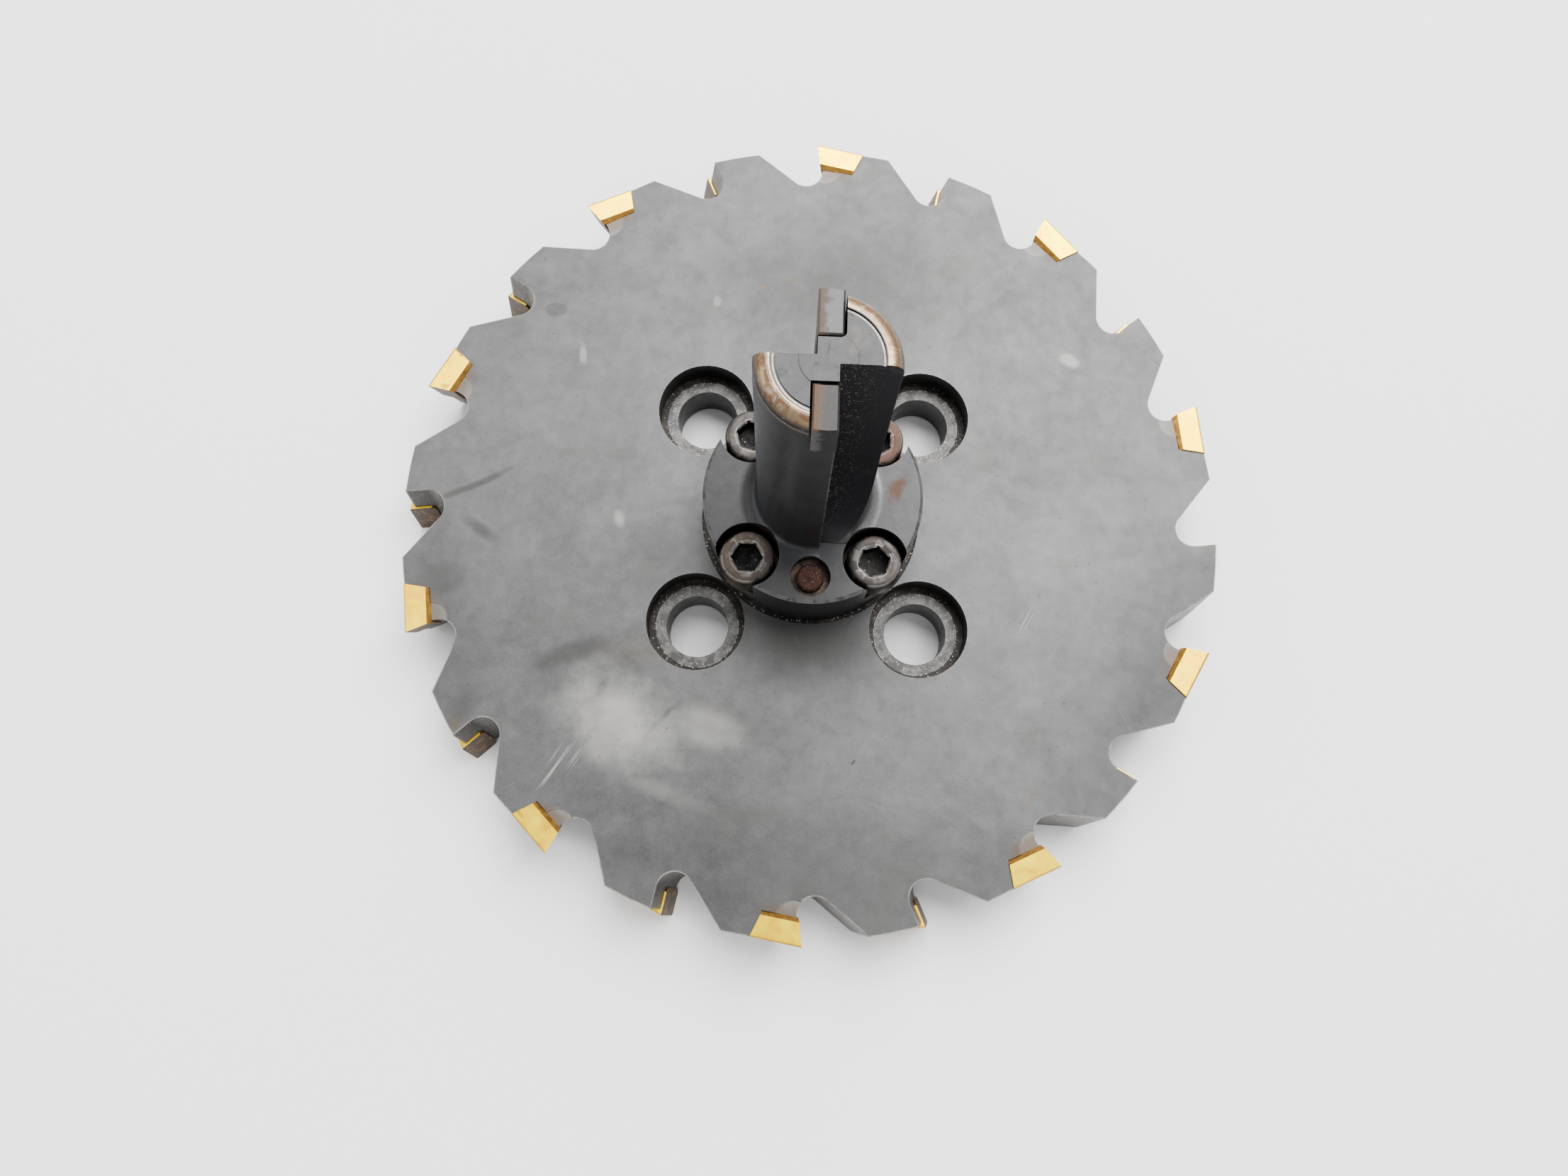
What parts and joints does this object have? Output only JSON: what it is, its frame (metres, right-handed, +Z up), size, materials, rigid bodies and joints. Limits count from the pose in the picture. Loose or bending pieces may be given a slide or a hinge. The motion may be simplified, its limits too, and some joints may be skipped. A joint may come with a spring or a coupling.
{
  "type": "slotting milling cutter",
  "caption": "Worn steel disc slotting cutter with gold-coated carbide inserts and a bolted two-jaw drive stem.",
  "frame": {"origin": "on the cutter's axis, in the plane through the lower inserts' cutting ends, which it rests on", "axes": "+Z up the drive stem, X and Y at 45 degrees to the four hub bolt holes"},
  "size_m": [0.1524, 0.1524, 0.0881],
  "materials": {
    "cutter_steel": "satin hardened steel, oiled and smeared, bright at worn edges",
    "coated_carbide": "gold titanium nitride coating over carbide, satin",
    "insert_screw_steel": "black oxide with dust",
    "stem_steel": "dark satin hardened steel with rust stains at the jaw rim",
    "key_steel": "ground steel with rust specks",
    "cap_screw_steel": "worn steel heads with brown rust",
    "rusty_steel": "red-brown rust"
  },
  "bodies": {
    "root": {"cutter_body": "cutter_steel", "upper_insert_01": "coated_carbide", "upper_insert_02": "coated_carbide", "upper_insert_03": "coated_carbide", "upper_insert_04": "coated_carbide", "upper_insert_05": "coated_carbide", "upper_insert_06": "coated_carbide", "upper_insert_07": "coated_carbide", "upper_insert_08": "coated_carbide", "upper_insert_09": "coated_carbide", "upper_insert_10": "coated_carbide", "lower_insert_01": "coated_carbide", "lower_insert_02": "coated_carbide", "lower_insert_03": "coated_carbide", "lower_insert_04": "coated_carbide", "lower_insert_05": "coated_carbide", "lower_insert_06": "coated_carbide", "lower_insert_07": "coated_carbide", "lower_insert_08": "coated_carbide", "lower_insert_09": "coated_carbide", "lower_insert_10": "coated_carbide", "upper_insert_screws": "insert_screw_steel", "lower_insert_screws": "insert_screw_steel", "drive_stem": "stem_steel", "drive_key_1": "key_steel", "drive_key_2": "key_steel", "dowel_pin": "rusty_steel"},
    "cap_screw_1_body": {"cap_screw_1": "cap_screw_steel"},
    "cap_screw_2_body": {"cap_screw_2": "cap_screw_steel"},
    "cap_screw_3_body": {"cap_screw_3": "cap_screw_steel"},
    "cap_screw_4_body": {"cap_screw_4": "cap_screw_steel"}
  },
  "joints": [
    {"name": "cap_screw_1_turn", "type": "hinge", "parent": "root", "child": "cap_screw_1_body", "pos_m": [0.01096, 0.01096, 0.02173], "axis": [0, 0, 1], "continuous": true},
    {"name": "cap_screw_2_turn", "type": "hinge", "parent": "root", "child": "cap_screw_2_body", "pos_m": [-0.01096, 0.01096, 0.02173], "axis": [0, 0, 1], "continuous": true},
    {"name": "cap_screw_3_turn", "type": "hinge", "parent": "root", "child": "cap_screw_3_body", "pos_m": [-0.01096, -0.01096, 0.02173], "axis": [0, 0, 1], "continuous": true},
    {"name": "cap_screw_4_turn", "type": "hinge", "parent": "root", "child": "cap_screw_4_body", "pos_m": [0.01096, -0.01096, 0.02173], "axis": [0, 0, 1], "continuous": true}
  ]
}
